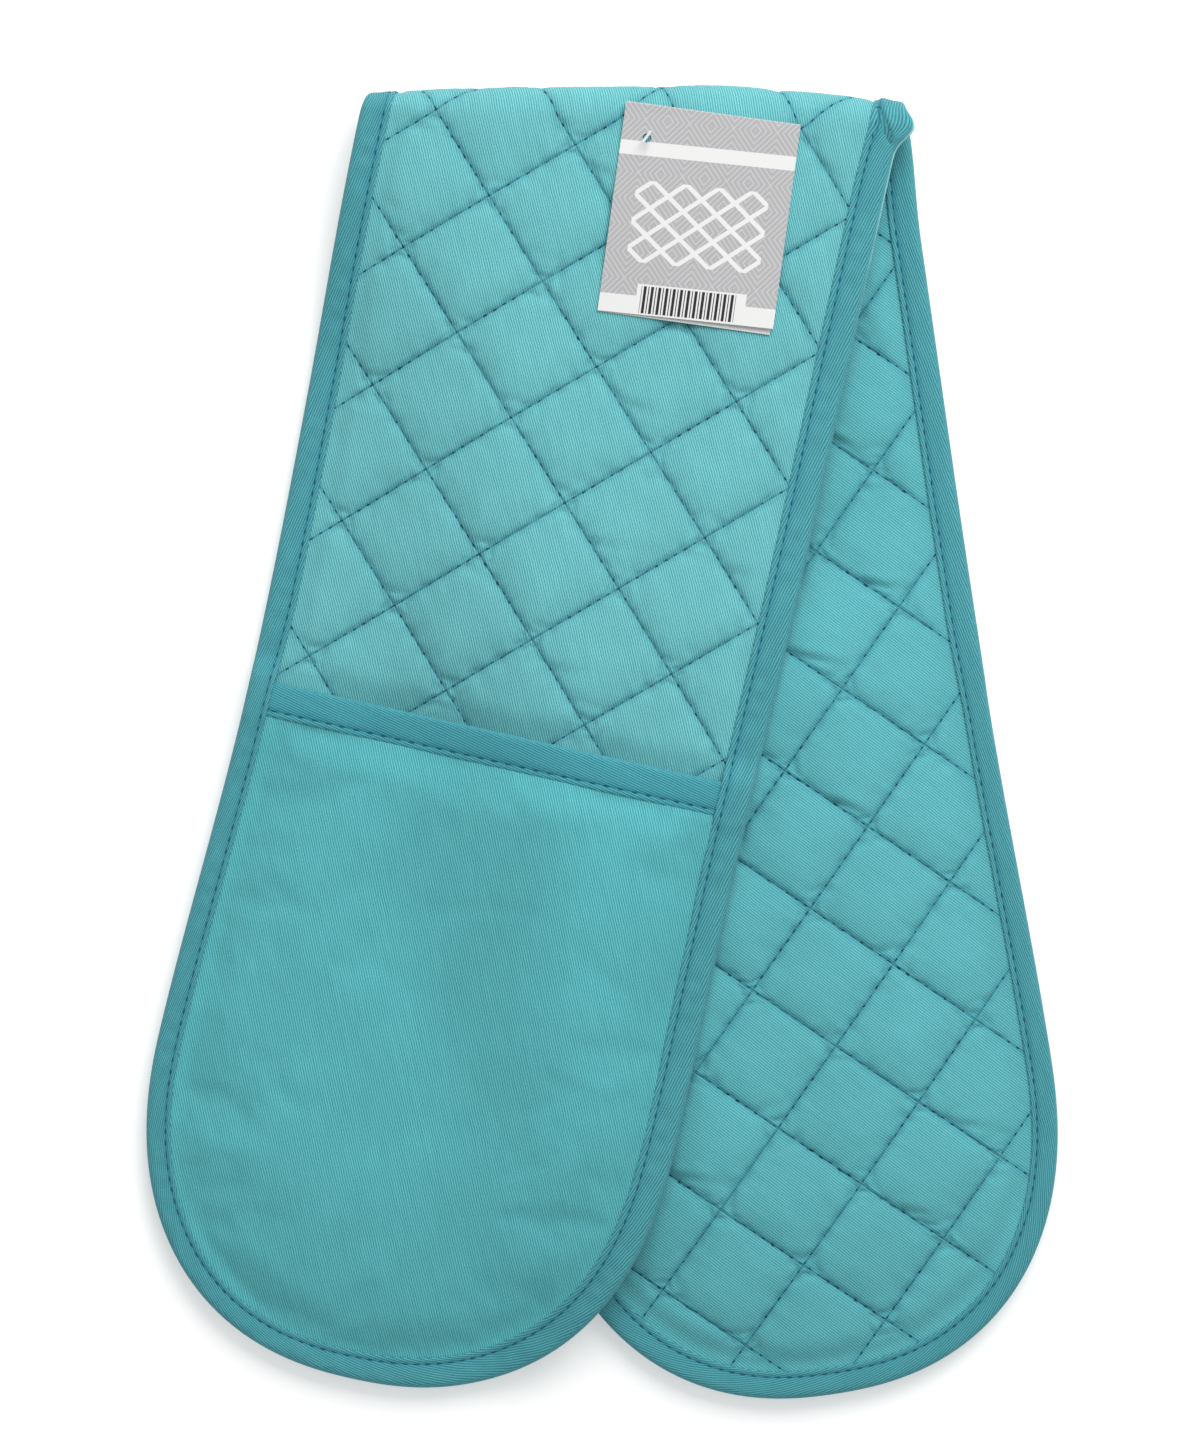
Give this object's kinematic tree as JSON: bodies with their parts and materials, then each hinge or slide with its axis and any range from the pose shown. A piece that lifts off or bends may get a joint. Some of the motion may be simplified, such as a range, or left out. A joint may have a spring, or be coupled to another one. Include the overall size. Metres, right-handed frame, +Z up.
{
  "type": "double oven glove",
  "caption": "Padded double oven glove: a quilted strap with a bound hand pocket at each end, lying folded in half and fanned, with a card swing tag on a plastic pin.",
  "frame": {"origin": "centre of the bounding box at the table, under the folded glove as it lies flat", "axes": "+Z up from the table; the fold line runs along X at the +Y end; the strap's two halves run towards -Y, the upper one leaning to -X and the lower one to +X"},
  "size_m": [0.3021, 0.4324, 0.0368],
  "materials": {
    "twill": "cotton twill, teal, matt",
    "binding": "cotton twill bias tape, slightly darker and bluer teal, matt",
    "wadding": "soft off-white polyester wadding",
    "lining": "plain unbleached cotton",
    "card": null,
    "pin": "clear to white nylon"
  },
  "bodies": {
    "back_half": {"back_reverse_cover": "twill", "back_wadding": "wadding", "back_inner_cover": "twill", "back_binding": "binding", "back_pocket_lining": "lining", "back_pocket_wadding": "wadding", "back_pocket_panel": "twill", "back_pocket_hem": "binding"},
    "fold_band_1": {"fold_1_reverse_cover": "twill", "fold_1_wadding": "wadding", "fold_1_inner_cover": "twill", "fold_1_binding_left": "binding", "fold_1_binding_right": "binding"},
    "fold_band_2": {"fold_2_reverse_cover": "twill", "fold_2_wadding": "wadding", "fold_2_inner_cover": "twill", "fold_2_binding_left": "binding", "fold_2_binding_right": "binding"},
    "fold_band_3": {"fold_3_reverse_cover": "twill", "fold_3_wadding": "wadding", "fold_3_inner_cover": "twill", "fold_3_binding_left": "binding", "fold_3_binding_right": "binding"},
    "front_half": {"front_reverse_cover": "twill", "front_wadding": "wadding", "front_inner_cover": "twill", "front_binding": "binding", "front_pocket_lining": "lining", "front_pocket_wadding": "wadding", "front_pocket_panel": "twill", "front_pocket_hem": "binding", "tag_pin": "pin"},
    "tag": {"tag_rear_leaf": "card"},
    "tag_leaf": {"tag_front_leaf": "card"}
  },
  "joints": [
    {"name": "fold_bend_1", "type": "hinge", "parent": "back_half", "child": "fold_band_1", "pos_m": [0, 0.20953, 0.00118], "axis": [-1, 0, 0], "range_deg": [0, 43]},
    {"name": "fold_bend_2", "type": "hinge", "parent": "fold_band_1", "child": "fold_band_2", "pos_m": [0, 0.2154, 0.00705], "axis": [-1, 0, 0], "range_deg": [0, 43]},
    {"name": "fold_bend_3", "type": "hinge", "parent": "fold_band_2", "child": "fold_band_3", "pos_m": [0, 0.2154, 0.01535], "axis": [-1, 0, 0], "range_deg": [0, 43]},
    {"name": "fold_bend_4", "type": "hinge", "parent": "fold_band_3", "child": "front_half", "pos_m": [0, 0.20953, 0.02122], "axis": [-1, 0, 0], "range_deg": [0, 43]},
    {"name": "tag_swivel", "type": "hinge", "parent": "front_half", "child": "tag", "pos_m": [0.0037, 0.19913, 0.0227], "axis": [0, 0, 1], "continuous": true},
    {"name": "tag_open", "type": "hinge", "parent": "tag", "child": "tag_leaf", "pos_m": [0.02531, 0.20762, 0.02285], "axis": [-0.9945, 0.1045, 0], "range_deg": [0, 15]}
  ]
}
